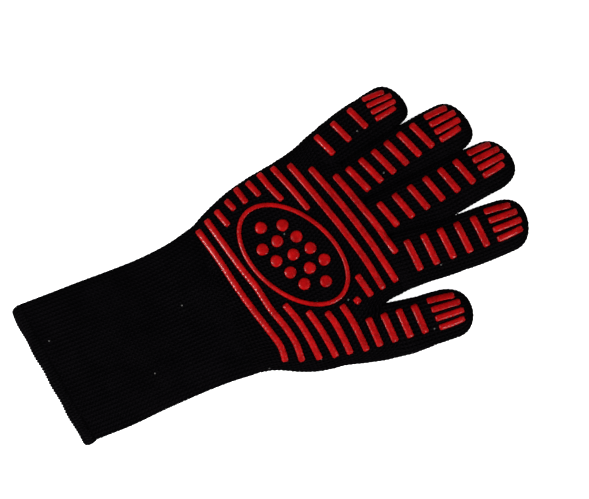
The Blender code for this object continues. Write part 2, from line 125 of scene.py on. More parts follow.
# Sections from the hem to the fingers: left point, right point, top height
CUFF = (
    ((-46.4, -176.0), (57.3, -167.0), 15.5),
    ((-46.2, -171.5), (57.4, -162.8), 15.5),
    ((-44.3, -140.0), (58.2, -138.0), 15.5),
    ((-42.6, -112.0), (57.9, -112.0), 15.5),
    ((-41.9, -84.0), (58.2, -84.0), 15.5),
    ((-44.0, -58.0), (60.0, -58.0), 16.0),
    ((-46.5, -48.0), (61.5, -48.0), 16.0),
    ((-48.7, -43.5), (62.7, -43.5), 16.5),
)
PALM = (
    ((-44.5, -56.0), (60.5, -56.0), 16.0),
    ((-46.5, -48.0), (61.5, -48.0), 16.0),
    ((-52.0, -36.0), (64.5, -36.0), 17.5),
    ((-58.3, -18.0), (74.0, -18.0), 19.5),
    ((-61.8, 0.0), (79.5, 0.0), 20.5),
    ((-64.0, 20.0), (80.0, 20.0), 20.5),
    ((-68.0, 40.0), (66.0, 36.0), 19.5),
    ((-71.0, 49.0), (54.0, 50.0), 18.4),
    ((-72.8, 57.0), (52.2, 77.0), 15.5),
)
THUMB_MOUND = (
    ((12.0, -24.0), (69.0, -24.0), 14.0),
    ((22.0, 0.0), (78.0, 0.0), 17.0),
    ((36.0, 22.0), (85.0, 22.0), 18.5),
    ((47.0, 38.0), (89.6, 38.0), 18.0),
    ((53.6, 50.0), (91.6, 50.0), FINGER_HEIGHT),
)
PALM_CUT_Y = -50.5
# Cuff and palm overlap at the wrist: how deep, and over what length, each one's end dips below the other
TUCK = 1.3
TUCK_LENGTH = 7.0
HEM_Y = -171.5
PALM_VOXEL = 1.5
LINER_VOXEL = 3.0

# Silicone
BAR_WIDTH = 4.4
SIDE_BAR_WIDTH = 4.05
BAR_HEIGHT = 1.15
BAR_SINK = 1.2
BAR_END_ROUND = 1.4
BAR_END_WIDTH = 0.58
BAR_END_HEIGHT = 0.25
SEAT_LIFT = 0.22
STATION = 0.8
OVAL_CENTRE = (-1.75, 8.5)
OVAL_HALF = (42.0, 25.4)
OVAL_TILT = math.radians(26.5)
OVAL_BEAD = 2.9
DOT_RADIUS = 4.0
DOT_ROWS = ((-10.5, (-18.0, -6.0, 6.0, 18.0)), (0.0, (-28.0, -14.0, 0.0, 14.0, 28.0)),
            (10.5, (-18.0, -6.0, 6.0, 18.0)))
# Each bar of the palm as points (x, y), from the wrist upwards and from left to right
PALM_BARS = (
    ((-43.0, -43.5), (-20.0, -38.6), (5.0, -34.5), (25.0, -30.2), (40.0, -26.5), (51.0, -24.4),
     (61.5, -25.6)),
    ((-47.0, -35.4), (-25.0, -30.8), (-5.0, -26.4), (8.0, -23.0), (25.0, -20.3), (40.0, -16.2),
     (52.0, -14.3), (66.0, -15.2)),
    ((-50.0, -27.0), (-37.0, -23.0)),
    ((26.0, -10.5), (40.0, -6.6), (54.0, -4.7), (69.5, -4.0)),
    ((-53.5, -18.0), (-45.0, -15.0)),
    ((36.5, 1.8), (50.0, 4.5), (62.0, 5.9), (72.5, 6.6)),
    ((-58.5, -9.0), (-46.0, -6.0)),
    ((42.0, 13.0), (50.0, 14.9), (62.0, 16.0), (74.5, 16.3)),
    ((-59.0, 0.0), (-46.8, 4.0)),
    ((42.0, 24.0), (52.0, 25.8), (65.0, 26.7), (77.0, 27.0)),
    ((-61.0, 9.3), (-49.0, 12.6), (-37.8, 16.5)),
    ((41.5, 34.0), (45.8, 35.6)),
    ((-61.0, 19.2), (-43.0, 25.0), (-25.0, 30.0)),
    ((28.0, 41.5), (45.0, 44.8)),
    ((-58.0, 30.3), (-30.0, 38.3), (0.0, 46.3), (22.0, 51.1), (44.0, 54.2)),
    ((-50.0, 42.3), (-20.0, 51.3), (10.0, 58.6), (43.0, 64.0)),
    ((-39.0, 55.3), (-18.0, 61.5), (5.0, 67.5), (25.5, 71.6)),
)
# first centre, last centre, number of rungs, tilt in degrees, length, width
RUNGS = {
    "little": ((-60.0, 57.4), (-67.2, 84.8), 3, 20.5, 17.6, 4.2),
    "ring": ((-30.0, 68.6), (-39.0, 119.3), 6, 20.0, 21.4, 4.5),
    "middle": ((-0.3, 77.2), (-5.5, 135.2), 6, 16.0, 20.4, 4.5),
    "index": ((31.5, 81.5), (35.2, 128.4), 5, 2.4, 22.4, 4.65),
    "thumb": ((67.6, 36.6), (72.0, 67.8), 4, 0.0, 20.6, 4.7),
}
# first and last foot, first and last head, how far the two middle heads stand beyond the outer ones, width
TIP_BARS = {
    "little": ((-77.0, 92.9), (-61.4, 95.4), (-76.9, 108.0), (-62.7, 110.6), 2.8, 3.5),
    "ring": ((-49.1, 125.8), (-31.2, 129.0), (-50.2, 142.2), (-32.8, 144.6), 3.0, 4.15),
    "middle": ((-15.3, 142.2), (2.6, 145.4), (-16.0, 158.8), (1.0, 161.4), 3.2, 4.1),
    "index": ((24.6, 136.4), (45.0, 136.8), (26.6, 154.2), (45.5, 155.2), 2.1, 4.15),
    "thumb": ((63.4, 77.2), (82.8, 77.4), (66.2, 95.2), (84.6, 95.4), 1.9, 4.0),
}


# Curves and sections

def smooth_curve(keys, values, place):
    """The value at a place on a smooth curve through rows of values at rising keys."""
    keys = np.array(keys, float)
    values = np.array(values, float)
    slopes = np.gradient(values, keys, axis=0)
    i = int(np.clip(np.searchsorted(keys, place) - 1, 0, len(keys) - 2))
    width = keys[i + 1] - keys[i]
    t = (place - keys[i]) / width
    return ((2 * t**3 - 3 * t**2 + 1) * values[i] + (t**3 - 2 * t**2 + t) * width * slopes[i]
            + (3 * t**2 - 2 * t**3) * values[i + 1] + (t**3 - t**2) * width * slopes[i + 1])


def edge_x(edge, y):
    """x of a plan edge at y."""
    return float(smooth_curve([point[1] for point in edge], [point[0] for point in edge], y))


def finger_bends(finger):
    """y of a finger's root bend and of its middle bend."""
    return [JOINTS[f"{finger}_{place}_bend"]["pos_m"][1] / MM for place in ("root", "middle")]


def signed_power(values, exponent):
    return np.sign(values) * np.abs(values) ** exponent


def outline(left, right, base, top, inset, columns):
    """Points at equal arc steps round an upright section, from under its middle, by way of the right side."""
    left = np.array(left, float)
    right = np.array(right, float)
    across = (right - left) / np.linalg.norm(right - left)
    half = np.linalg.norm(right - left) / 2 - inset
    centre = (left + right) / 2
    low = base + inset
    high = top - inset
    middle = low + (high - low) * WAIST
    angle = np.linspace(-math.pi / 2, 3 * math.pi / 2, 721)
    reach = half * signed_power(np.cos(angle), 2 / SQUARENESS)
    rise = signed_power(np.sin(angle), 2 / SQUARENESS)
    z = np.where(rise >= 0, middle + (high - middle) * rise, middle + (middle - low) * SOLE * rise)
    z = np.maximum(z, low)
    dense = np.column_stack([centre[0] + across[0] * reach, centre[1] + across[1] * reach, z])
    steps = np.linalg.norm(np.diff(dense, axis=0), axis=1)
    travelled = np.concatenate([[0.0], np.cumsum(steps)])
    marks = np.arange(columns) / columns * travelled[-1]
    return np.column_stack([np.interp(marks, travelled, dense[:, k]) for k in range(3)])


def section_between(sections, y):
    """A smooth section at a value of y counted along the left points of a list of sections."""
    rows = [[*left, *right, top] for left, right, top in sections]
    value = smooth_curve([left[1] for left, _, _ in sections], rows, y)
    return value[0:2], value[2:4], value[4]


def soft_noise(points, scale, seed):
    """Slow, smooth unevenness between about -1 and 1, the same on every run."""
    x, y, z = (points[..., k] / scale for k in range(3))
    first = np.sin(1.7 * x + 0.6 * y + seed) * np.sin(1.3 * y - 0.7 * z + 2.1 * seed)
    second = np.sin(2.9 * x - 1.1 * z + 1.3 * seed) * np.sin(2.3 * y + 0.9 * x + 0.7 * seed)
    third = np.sin(0.8 * x - 1.9 * y + 1.9 * z + 3.3 * seed)
    return 0.5 * first + 0.3 * second + 0.2 * third


# Meshes

def link_mesh(name, vertices, faces, material, uvs=None):
    """A smooth-shaded mesh object from points in metres. uvs holds one pair for each face corner."""
    mesh = bpy.data.meshes.new(name)
    mesh.from_pydata([tuple(v) for v in vertices], [], [tuple(f) for f in faces])
    if uvs is not None:
        layer = mesh.uv_layers.new(name="knit")
        layer.data.foreach_set("uv", np.asarray(uvs, np.float32).ravel())
    mesh.shade_smooth()
    mesh.materials.append(material)
    piece = bpy.data.objects.new(name, mesh)
    bpy.context.collection.objects.link(piece)
    return piece


def grid_normals(grid):
    """Outward unit normals of a closed-round grid of points."""
    along = np.gradient(grid, axis=0)
    around = np.roll(grid, -1, axis=1) - np.roll(grid, 1, axis=1)
    normals = np.cross(along, around)
    lengths = np.linalg.norm(normals, axis=2, keepdims=True)
    return normals / np.maximum(lengths, 1e-9)


def grid_faces(rows, columns):
    """Quads of a closed-round grid and the column and row of each corner, for its texture map."""
    faces = []
    corners = []
    for j in range(rows - 1):
        for i in range(columns):
            k = (i + 1) % columns
            faces.append((j * columns + i, (j + 1) * columns + i, (j + 1) * columns + k, j * columns + k))
            corners += [(i, j), (i, j + 1), (i + 1, j + 1), (i + 1, j)]
    return faces, np.array(corners, float)


def stitch_relief(wales, courses):
    """Height, 0 to 1, of knitted loops at positions counted in wales and courses."""
    across = np.abs(2 * (wales % 1.0) - 1)
    ridge = 1 - across**2
    loop = 0.5 + 0.5 * np.cos(2 * math.pi * (courses + 0.28 * across))
    return ridge * (0.42 + 0.58 * loop)


def rib_relief(ribs, courses):
    """Height, 0 to 1, of a stretched rib."""
    wave = 0.5 + 0.5 * np.cos(2 * math.pi * ribs)
    loop = 0.5 + 0.5 * np.cos(2 * math.pi * courses)
    return wave**0.8 * (0.8 + 0.2 * loop)


def relief_depth(normals):
    """How deep the stitches stand: less on the sides, where the yarn is pressed and seen edge on."""
    return STITCH_HEIGHT * (0.55 + 0.45 * np.abs(normals[..., 2]))


def tube_piece(name, grid, material, scale, first_row=0):
    """A mesh from a closed-round grid in millimetres. scale is the map's size of a column and a row."""
    rows, columns = grid.shape[:2]
    faces, corners = grid_faces(rows, columns)
    corners[:, 1] += first_row
    uvs = corners * np.array(scale) * MM
    return link_mesh(name, grid.reshape(-1, 3) * MM, faces, material, uvs)


# Materials

def new_material(name, color, roughness, specular):
    """A material, its node tree and its Principled BSDF."""
    material = bpy.data.materials.new(name)
    material.use_nodes = True
    shader = material.node_tree.nodes["Principled BSDF"]
    shader.inputs["Base Color"].default_value = (*color, 1.0)
    shader.inputs["Roughness"].default_value = roughness
    shader.inputs["Specular IOR Level"].default_value = specular
    return material, material.node_tree, shader


def add_node(tree, kind, **settings):
    node = tree.nodes.new(kind)
    for key, value in settings.items():
        setattr(node, key, value)
    return node


def math_node(tree, operation, first, second=None, third=None):
    """A Math node whose inputs are sockets or numbers. Returns its output socket."""
    node = add_node(tree, "ShaderNodeMath", operation=operation)
    for socket, value in zip(node.inputs, (first, second, third)):
        if value is None:
            continue
        if isinstance(value, (int, float)):
            socket.default_value = value
        else:
            tree.links.new(value, socket)
    return node.outputs[0]


def noise_node(tree, vector, scale, detail=2.0, roughness=0.5):
    node = add_node(tree, "ShaderNodeTexNoise")
    node.inputs["Scale"].default_value = scale
    node.inputs["Detail"].default_value = detail
    node.inputs["Roughness"].default_value = roughness
    tree.links.new(vector, node.inputs["Vector"])
    return node.outputs["Fac"]


def ramp_node(tree, factor, stops):
    """A colour ramp through (position, colour) stops."""
    node = add_node(tree, "ShaderNodeValToRGB")
    ramp = node.color_ramp
    while len(ramp.elements) < len(stops):
        ramp.elements.new(0.5)
    for element, (position, color) in zip(ramp.elements, stops):
        element.position = position
        element.color = (*color, 1.0)
    tree.links.new(factor, node.inputs["Fac"])
    return node.outputs["Color"]


def bump_node(tree, height, strength, distance):
    node = add_node(tree, "ShaderNodeBump")
    node.inputs["Strength"].default_value = strength
    node.inputs["Distance"].default_value = distance
    tree.links.new(height, node.inputs["Height"])
    return node.outputs["Normal"]


def knit_height(tree, uv, wale, course):
    """V-shaped stitches with twisted yarn, from the knit map in metres."""
    split = add_node(tree, "ShaderNodeSeparateXYZ")
    tree.links.new(uv, split.inputs[0])
    wales = math_node(tree, "DIVIDE", split.outputs[0], wale * MM)
    courses = math_node(tree, "DIVIDE", split.outputs[1], course * MM)
    from_middle = math_node(tree, "MULTIPLY_ADD", math_node(tree, "FRACT", wales), 2.0, -1.0)
    across = math_node(tree, "ABSOLUTE", from_middle)
    ridge = math_node(tree, "SUBTRACT", 1.0, math_node(tree, "MULTIPLY", across, across))
    phase = math_node(tree, "MULTIPLY_ADD", across, 0.75, courses)
    leg = math_node(tree, "SINE", math_node(tree, "MULTIPLY", phase, 2 * math.pi))
    twist = math_node(tree, "ADD", phase, wales)
    ply = math_node(tree, "SINE", math_node(tree, "MULTIPLY", twist, 10 * math.pi))
    stitches = math_node(tree, "MULTIPLY_ADD", leg, 0.4, ridge)
    return math_node(tree, "MULTIPLY_ADD", ply, 0.09, stitches)


def lint_specks(tree, uv):
    """1 on a few specks of pale lint about 1 mm across, 0 between them."""
    cells = add_node(tree, "ShaderNodeTexVoronoi", voronoi_dimensions="2D")
    cells.inputs["Scale"].default_value = 80.0
    tree.links.new(uv, cells.inputs["Vector"])
    split = add_node(tree, "ShaderNodeSeparateColor")
    tree.links.new(cells.outputs["Color"], split.inputs[0])
    near = math_node(tree, "LESS_THAN", cells.outputs["Distance"], 0.045)
    chosen = math_node(tree, "GREATER_THAN", split.outputs[0], 0.945)
    return math_node(tree, "MULTIPLY", near, chosen)


def knit_material(name, light, wale, course, strength):
    """Matte black yarn: stitches from the knit map, with fuzz, uneven dye and a few pale lint specks. The
    colour is also lighter on the raised loops and fuzz and darker between them: painted highlight and painted
    shade.
    """
    dark = (0.0002, 0.0002, 0.0004)
    material, tree, shader = new_material(name, dark, 0.9, 0.012)
    uv = add_node(tree, "ShaderNodeUVMap", uv_map="knit").outputs[0]
    stitches = knit_height(tree, uv, wale, course)
    fuzz = noise_node(tree, uv, 2600.0, 3.0, 0.7)
    patches = noise_node(tree, uv, 45.0, 3.0, 0.6)
    height = math_node(tree, "MULTIPLY_ADD", fuzz, 0.5, stitches)
    # Colour from uneven dye (patches) and from the relief's height: painted highlight on the loop tops,
    # painted shade between them
    dye_and_painted_shade = math_node(tree, "MULTIPLY_ADD", patches, 0.5, math_node(tree, "MULTIPLY", height, 0.4))
    yarn = ramp_node(tree, dye_and_painted_shade, ((0.36, dark), (0.92, light)))
    mix = add_node(tree, "ShaderNodeMix", data_type="RGBA")
    inputs = {socket.identifier: socket for socket in mix.inputs}
    tree.links.new(lint_specks(tree, uv), inputs["Factor_Float"])
    tree.links.new(yarn, inputs["A_Color"])
    inputs["B_Color"].default_value = (0.1, 0.097, 0.094, 1.0)
    result = next(socket for socket in mix.outputs if socket.identifier == "Result_Color")
    tree.links.new(result, shader.inputs["Base Color"])
    tree.links.new(bump_node(tree, height, strength, 0.0009), shader.inputs["Normal"])
    return material


def silicone_material():
    """Glossy printed silicone: small dips over the knit, faint dust and uneven gloss."""
    material, tree, shader = new_material("red_silicone", (0.36, 0.003, 0.004), 0.3, 0.12)
    place = add_node(tree, "ShaderNodeTexCoord").outputs["Object"]
    shader.inputs["Coat Weight"].default_value = 0.15
    shader.inputs["Coat Roughness"].default_value = 0.08
    wide = noise_node(tree, place, 160.0, 3.0, 0.6)
    fine = noise_node(tree, place, 1100.0, 3.0, 0.65)
    tone = math_node(tree, "MULTIPLY_ADD", fine, 0.45, math_node(tree, "MULTIPLY", wide, 0.55))
    stops = ((0.3, (0.15, 0.0006, 0.001)), (0.52, (0.3, 0.001, 0.0016)), (0.75, (0.47, 0.002, 0.003)))
    tree.links.new(ramp_node(tree, tone, stops), shader.inputs["Base Color"])
    rough = math_node(tree, "MULTIPLY_ADD", tone, 0.3, 0.14)
    tree.links.new(rough, shader.inputs["Roughness"])
    height = math_node(tree, "MULTIPLY_ADD", fine, 0.4, wide)
    tree.links.new(bump_node(tree, height, 0.5, 0.0008), shader.inputs["Normal"])
    return material


def lining_material():
    """Undyed brushed cotton."""
    material, tree, shader = new_material("cotton_lining", (0.6, 0.57, 0.5), 0.95, 0.1)
    uv = add_node(tree, "ShaderNodeUVMap", uv_map="knit").outputs[0]
    nap = noise_node(tree, uv, 1500.0, 4.0, 0.7)
    clumps = noise_node(tree, uv, 240.0, 3.0, 0.6)
    height = math_node(tree, "MULTIPLY_ADD", clumps, 1.2, nap)
    stops = ((0.3, (0.42, 0.39, 0.33)), (0.8, (0.7, 0.67, 0.6)))
    tone = math_node(tree, "MULTIPLY", height, 0.5)
    tree.links.new(ramp_node(tree, tone, stops), shader.inputs["Base Color"])
    tree.links.new(bump_node(tree, height, 0.8, 0.0012), shader.inputs["Normal"])
    return material


# Knitted pieces

def cuff_grid(inset, columns, start_y, end_y, step):
    """Rows of the cuff's smooth surface."""
    rows = np.arange(start_y, end_y + step / 2, step)
    grid = []
    for y in rows:
        left, right, top = section_between(CUFF, y)
        grid.append(outline(left, right, 0.0, top, inset, columns))
    return np.array(grid)


def make_cuff(material):
    """The ribbed cuff, from the hem to just over the wrist, where it dips in below the palm's knit."""
    columns = round(CUFF_GIRTH / RIB) * COLUMNS_PER_RIB
    grid = cuff_grid(0.0, columns, CUFF[0][0][1], CUFF[-1][0][1], RIB_ROW_STEP)
    rows = len(grid)
    courses = np.arange(rows)[:, None] * RIB_ROW_STEP / COURSE
    rib_count = np.arange(columns)[None, :] / COLUMNS_PER_RIB
    relief = rib_relief(rib_count + 0.08 * np.sin(courses * 0.21), courses)
    wander = soft_noise(grid, 26.0, 1.0) * 0.7
    fade = np.clip((rows - 1 - np.arange(rows)) * RIB_ROW_STEP / TUCK_LENGTH, 0, 1)[:, None]
    height = (relief - RIB_LEVEL) * RIB_HEIGHT + wander * fade - TUCK * (1 - fade)
    grid = grid + grid_normals(grid) * height[..., None]
    grid[..., 2] = np.maximum(grid[..., 2], FLOOR_GAP)
    return tube_piece("ribbed_cuff", grid, material, (RIB / COLUMNS_PER_RIB, RIB_ROW_STEP))


def make_hem(material):
    """The overlocked edge: a soft roll wrapped in slanting thread, over the cuff's raw end."""
    left, right, top = section_between(CUFF, HEM_Y)
    columns = 5 * HEM_WRAPS
    around = 16
    slant = 1.2
    wall = 3.2
    overhang = 4.7
    centre_line = outline(left, right, 0.0, top, wall / 2, columns)
    outward = centre_line - outline(left, right, 0.0, top, wall / 2 + 1.0, columns)
    outward /= np.linalg.norm(outward, axis=1, keepdims=True)
    back = np.array([0.12, -0.993, 0.0])
    share = np.arange(columns) / columns
    swell = 1 + 0.06 * np.sin(share * 2 * math.pi * 9)
    rows = []
    for k in range(around):
        angle = 2 * math.pi * k / around
        turn = share * HEM_WRAPS - k / around * slant
        thread = 0.5 - 0.5 * np.cos(2 * math.pi * turn)
        radius_out = wall / 2 + 0.6 + 0.6 * thread
        radius_back = 4.0 + 0.8 * thread
        shift = (outward * (radius_out * math.cos(angle) * swell)[:, None]
                 - back * (radius_back * math.sin(angle) * swell)[:, None])
        rows.append(centre_line + shift + back * overhang)
    grid = np.array(rows + rows[:1])
    grid[..., 2] = np.maximum(grid[..., 2], 0.02)
    piece = tube_piece("cuff_hem_roll", grid, material, (HEM_PITCH * HEM_WRAPS / columns, 1.0))
    slant_map(piece, HEM_PITCH * slant / around)
    return piece


def slant_map(piece, share):
    """Shears a piece's knit map, so that its texture follows thread that slants."""
    layer = piece.data.uv_layers["knit"].data
    uvs = np.zeros(len(layer) * 2, np.float32)
    layer.foreach_get("uv", uvs)
    uvs = uvs.reshape(-1, 2)
    uvs[:, 0] -= uvs[:, 1] * share
    layer.foreach_set("uv", uvs.ravel())


def finger_section(finger, y, inset, columns):
    """One outline of a finger at y, rounded off towards the tip."""
    left_edge, right_edge = FINGER_EDGES[finger]
    _, tip_y, lean = FINGER_ENDS[finger]
    left = edge_x(left_edge, y)
    right = edge_x(right_edge, y)
    begin = tip_y - TIP_ROUNDING
    base = FINGER_BASE_Z
    top = FINGER_HEIGHT
    if y > begin:
        along = min((y - begin) / (tip_y - inset - begin), 1.0)
        round_off = max(1 - along**TIP_POWER, 0.0004) ** (1 / TIP_POWER)
        middle = (left + right) / 2 + lean * along**3
        half = (right - left) / 2 - inset
        left = middle - half * round_off - inset
        right = middle + half * round_off + inset
        flat = 0.12 + 0.88 * round_off**0.8
        centre = base + (top - base) * WAIST
        top = centre + (top - inset - centre) * flat + inset
        base = centre - (centre - base - inset) * flat - inset
    return outline((left, y), (right, y), base, top, inset, columns)


def finger_rows(finger, inset, step):
    """Values of y along a finger, at equal steps along the straight part and round the tip."""
    start_y, tip_y, _ = FINGER_ENDS[finger]
    begin = tip_y - TIP_ROUNDING
    straight_rows = np.linspace(start_y, begin, max(2, round((begin - start_y) / step)))
    turns = round(TIP_ROUNDING * 1.5 / step)
    angle = np.linspace(0, math.pi / 2, turns + 1)[1:]
    tip_rows = begin + (tip_y - inset - begin) * np.sin(angle) ** (2 / TIP_POWER)
    return np.concatenate([straight_rows, tip_rows])


def finger_grid(finger, inset, columns, step):
    """Rows of a finger's surface. Where it lies inside the palm it is drawn in a little."""
    rows = finger_rows(finger, inset, step)
    start_y = FINGER_ENDS[finger][0]
    grid = []
    for y in rows:
        tuck = 0.8 * (1 - min(max((y - start_y - 3.0) / 6.0, 0.0), 1.0))
        grid.append(finger_section(finger, y, inset + tuck, columns))
    grid = np.array(grid)
    grid[-1] = grid[-1].mean(axis=0)
    return rows, grid


def soften_finger(finger, rows, grid):
    """A fuller surface with small creases over the two bends, uneven as in cloth that has been worn."""
    root_y, middle_y = finger_bends(finger)
    crease = np.exp(-((rows - middle_y) / 3.0) ** 2) + 0.6 * np.exp(-((rows - root_y) / 3.0) ** 2)
    seed = 1.0 + FINGERS.index(finger)
    height = FINGER_FULLNESS + soft_noise(grid, 13.0, seed) * 0.25 - crease[:, None] * 0.3
    return grid + grid_normals(grid) * height[..., None]


def split_row(finger, rows):
    """The row half way between a finger's bends, where its lower and upper pieces meet."""
    return int(np.searchsorted(rows, sum(finger_bends(finger)) / 2))


def make_finger(finger, material):
    """A finger's knit in two pieces, and its surface without stitches."""
    left, right = (edge_x(edge, 95.0) for edge in FINGER_EDGES[finger])
    wales = round(2 * (right - left + FINGER_HEIGHT * 0.62) / WALE)
    columns = wales * COLUMNS_PER_WALE
    step = COURSE / ROWS_PER_COURSE
    rows, grid = finger_grid(finger, 0.0, columns, step)
    smooth = soften_finger(finger, rows, grid)
    courses = np.arange(len(rows))[:, None] / ROWS_PER_COURSE
    relief = stitch_relief(np.arange(columns)[None, :] / COLUMNS_PER_WALE, courses)
    fade = np.minimum(1.0, (len(rows) - 1 - np.arange(len(rows))) / 5.0)[:, None]
    normals = grid_normals(smooth)
    height = (relief - STITCH_LEVEL) * relief_depth(normals) * fade
    grid = smooth + normals * height[..., None]
    grid[..., 2] = np.maximum(grid[..., 2], FLOOR_GAP)
    split = split_row(finger, rows)
    scale = (WALE / COLUMNS_PER_WALE, step)
    lower = tube_piece(f"{finger}_knit_lower", grid[:split + 1], material, scale)
    upper = tube_piece(f"{finger}_knit_upper", grid[split:], material, scale, split)
    return lower, upper, smooth


def loft_into(bm, rings):
    """Adds a closed solid through the rings to a bmesh."""
    rows = [[bm.verts.new(Vector(point) * MM) for point in ring] for ring in rings]
    for near, far in zip(rows, rows[1:]):
        for i in range(len(near)):
            j = (i + 1) % len(near)
            bm.faces.new((near[i], far[i], far[j], near[j]))
    bm.faces.new(rows[0])
    bm.faces.new(list(reversed(rows[-1])))


def palm_end_y(x):
    """The slanting line where the palm ends and the four fingers begin."""
    (left_x, left_y), (right_x, right_y), _ = PALM[-1]
    return left_y + (x - left_x) * (right_y - left_y) / (right_x - left_x)


def palm_rings(inset):
    """Sections of the palm, about 3 mm apart."""
    keys = np.arange(PALM[0][0][1], PALM[-1][0][1] + 1e-6, 3.0)
    keys = np.append(keys[:-1], PALM[-1][0][1])
    rings = []
    for y in keys:
        left, right, top = section_between(PALM, y)
        rings.append(outline(left, right, 0.0, top, inset, 96))
    return rings


def finger_root_rings(finger, inset):
    """Sections of a finger's root, which rises out of the palm and ends at the slanting line."""
    left_edge, right_edge = FINGER_EDGES[finger]
    start_y = FINGER_ENDS[finger][0]
    rings = []
    for back, squeeze, top in ((24.0, 0.86, 14.0), (9.0, 1.0, 16.6), (0.0, 1.0, FINGER_HEIGHT)):
        left_y = palm_end_y(edge_x(left_edge, start_y)) + 1.0 - back
        right_y = palm_end_y(edge_x(right_edge, start_y)) + 1.0 - back
        left = np.array((edge_x(left_edge, left_y), left_y))
        right = np.array((edge_x(right_edge, right_y), right_y))
        middle = (left + right) / 2
        left = middle + (left - middle) * squeeze
        right = middle + (right - middle) * squeeze
        rings.append(outline(left, right, FINGER_BASE_Z, top, inset, 48))
    return rings


def hand_block(inset, voxel, smoothing):
    """The palm, the mound of the thumb and the finger roots as one smooth mesh, open at the wrist."""
    bm = bmesh.new()
    loft_into(bm, palm_rings(inset))
    loft_into(bm, [outline(left, right, FINGER_BASE_Z, top, inset, 48) for left, right, top in THUMB_MOUND])
    for finger in ("little", "ring", "middle", "index"):
        loft_into(bm, finger_root_rings(finger, inset))
    mesh = bpy.data.meshes.new("hand_block")
    bm.to_mesh(mesh)
    bm.free()
    block = bpy.data.objects.new("hand_block", mesh)
    bpy.context.collection.objects.link(block)
    remesh = block.modifiers.new("remesh", "REMESH")
    remesh.mode = "VOXEL"
    remesh.voxel_size = voxel * MM
    smooth = block.modifiers.new("smooth", "SMOOTH")
    smooth.factor = 0.5
    smooth.iterations = smoothing
    subdivide = block.modifiers.new("subdivide", "SUBSURF")
    subdivide.levels = 1
    subdivide.render_levels = 1
    graph = bpy.context.evaluated_depsgraph_get()
    result = bpy.data.meshes.new_from_object(block.evaluated_get(graph))
    bpy.data.objects.remove(block)
    bm = bmesh.new()
    bm.from_mesh(result)
    cut = Vector((0.0, PALM_CUT_Y * MM, 0.0))
    everything = list(bm.verts) + list(bm.edges) + list(bm.faces)
    bmesh.ops.bisect_plane(bm, geom=everything, plane_co=cut, plane_no=Vector((0, -1, 0)), clear_outer=True)
    bm.to_mesh(result)
    bm.free()
    return result


def vertex_rows(mesh, attribute):
    """One row for each vertex of a mesh, such as its place (co) or its normal."""
    values = np.zeros(len(mesh.vertices) * 3, np.float32)
    mesh.vertices.foreach_get(attribute, values)
    return values.reshape(-1, 3)


def face_lists(mesh):
    """The faces of a mesh, and the vertex at each of their corners."""
    faces = [tuple(polygon.vertices) for polygon in mesh.polygons]
    return faces, np.array([index for face in faces for index in face])


def palm_middle_x(y):
    """x of the middle of the palm at y."""
    keys = [(left[1] + right[1]) / 2 for left, right, _ in PALM]
    middles = [(left[0] + right[0]) / 2 for left, right, _ in PALM]
    return np.interp(y, keys, middles)


def wrap_across(points):
    """Distance across the knit that carries on down the sides of the hand and under it."""
    side_wales = 7.5
    offset = points[:, 0] - palm_middle_x(points[:, 1])
    drop = side_wales * WALE * np.clip(1 - points[:, 2] / FINGER_HEIGHT, 0, 1)
    return offset + np.sign(offset) * drop


def make_palm(material):
    """The hand's knit without its fingers, and the same without stitches. It starts below the cuff's knit."""
    mesh = hand_block(0.0, PALM_VOXEL, 7)
    points = vertex_rows(mesh, "co").astype(float) / MM
    normals = vertex_rows(mesh, "normal")
    smooth = points + normals * (soft_noise(points, 17.0, 9.0) * 0.45)[:, None]
    across = wrap_across(points)
    relief = stitch_relief(across / WALE, points[:, 1] / COURSE)
    tuck = TUCK * np.clip(1 - (points[:, 1] - PALM_CUT_Y) / TUCK_LENGTH, 0, 1)
    knitted = smooth + normals * ((relief - STITCH_LEVEL) * relief_depth(normals) - tuck)[:, None]
    knitted[:, 2] = np.maximum(knitted[:, 2], FLOOR_GAP)
    faces, corners = face_lists(mesh)
    uvs = np.column_stack([across[corners], points[corners, 1]]) * MM
    bpy.data.meshes.remove(mesh)
    piece = link_mesh("palm_knit", knitted * MM, faces, material, uvs)
    return piece, (smooth * MM, faces)


# Liner

def make_cuff_liner(material):
    """The cuff's liner, which reaches a little way into the palm's."""
    step = 3.0
    grid = cuff_grid(LINER_INSET, 180, CUFF[0][0][1] + 1.0, -40.0, step)
    grid = grid + grid_normals(grid) * (soft_noise(grid, 9.0, 4.0) * 0.35)[..., None]
    return tube_piece("cuff_lining", grid, material, (1.2, step))


def make_palm_liner(material):
    """The liner of the hand without its fingers."""
    mesh = hand_block(LINER_INSET, LINER_VOXEL, 4)
    points = vertex_rows(mesh, "co").astype(float)
    faces, corners = face_lists(mesh)
    uvs = points[corners][:, :2]
    bpy.data.meshes.remove(mesh)
    return link_mesh("palm_lining", points, faces, material, uvs)


def make_finger_liner(finger, material):
    """A finger's liner in two pieces, which meet where the knit's do."""
    step = 2.4
    rows, grid = finger_grid(finger, LINER_INSET, 48, step)
    split = split_row(finger, rows)
    lower = tube_piece(f"{finger}_lining_lower", grid[:split + 1], material, (2.0, step))
    upper = tube_piece(f"{finger}_lining_upper", grid[split:], material, (2.0, step), split)
    return lower, upper


# Silicone

def height_function(surfaces):
    """A function for the height in millimetres, just over the highest surface, at a plan point."""
    trees = []
    for vertices, faces in surfaces:
        trees.append(BVHTree.FromPolygons([tuple(v) for v in vertices], faces))

    def height(x, y):
        best = None
        for tree in trees:
            hit = tree.ray_cast(Vector((x * MM, y * MM, 0.1)), Vector((0, 0, -1)))[0]
            if hit is not None and (best is None or hit.z > best):
                best = hit.z
        return None if best is None else best / MM + SEAT_LIFT

    return height


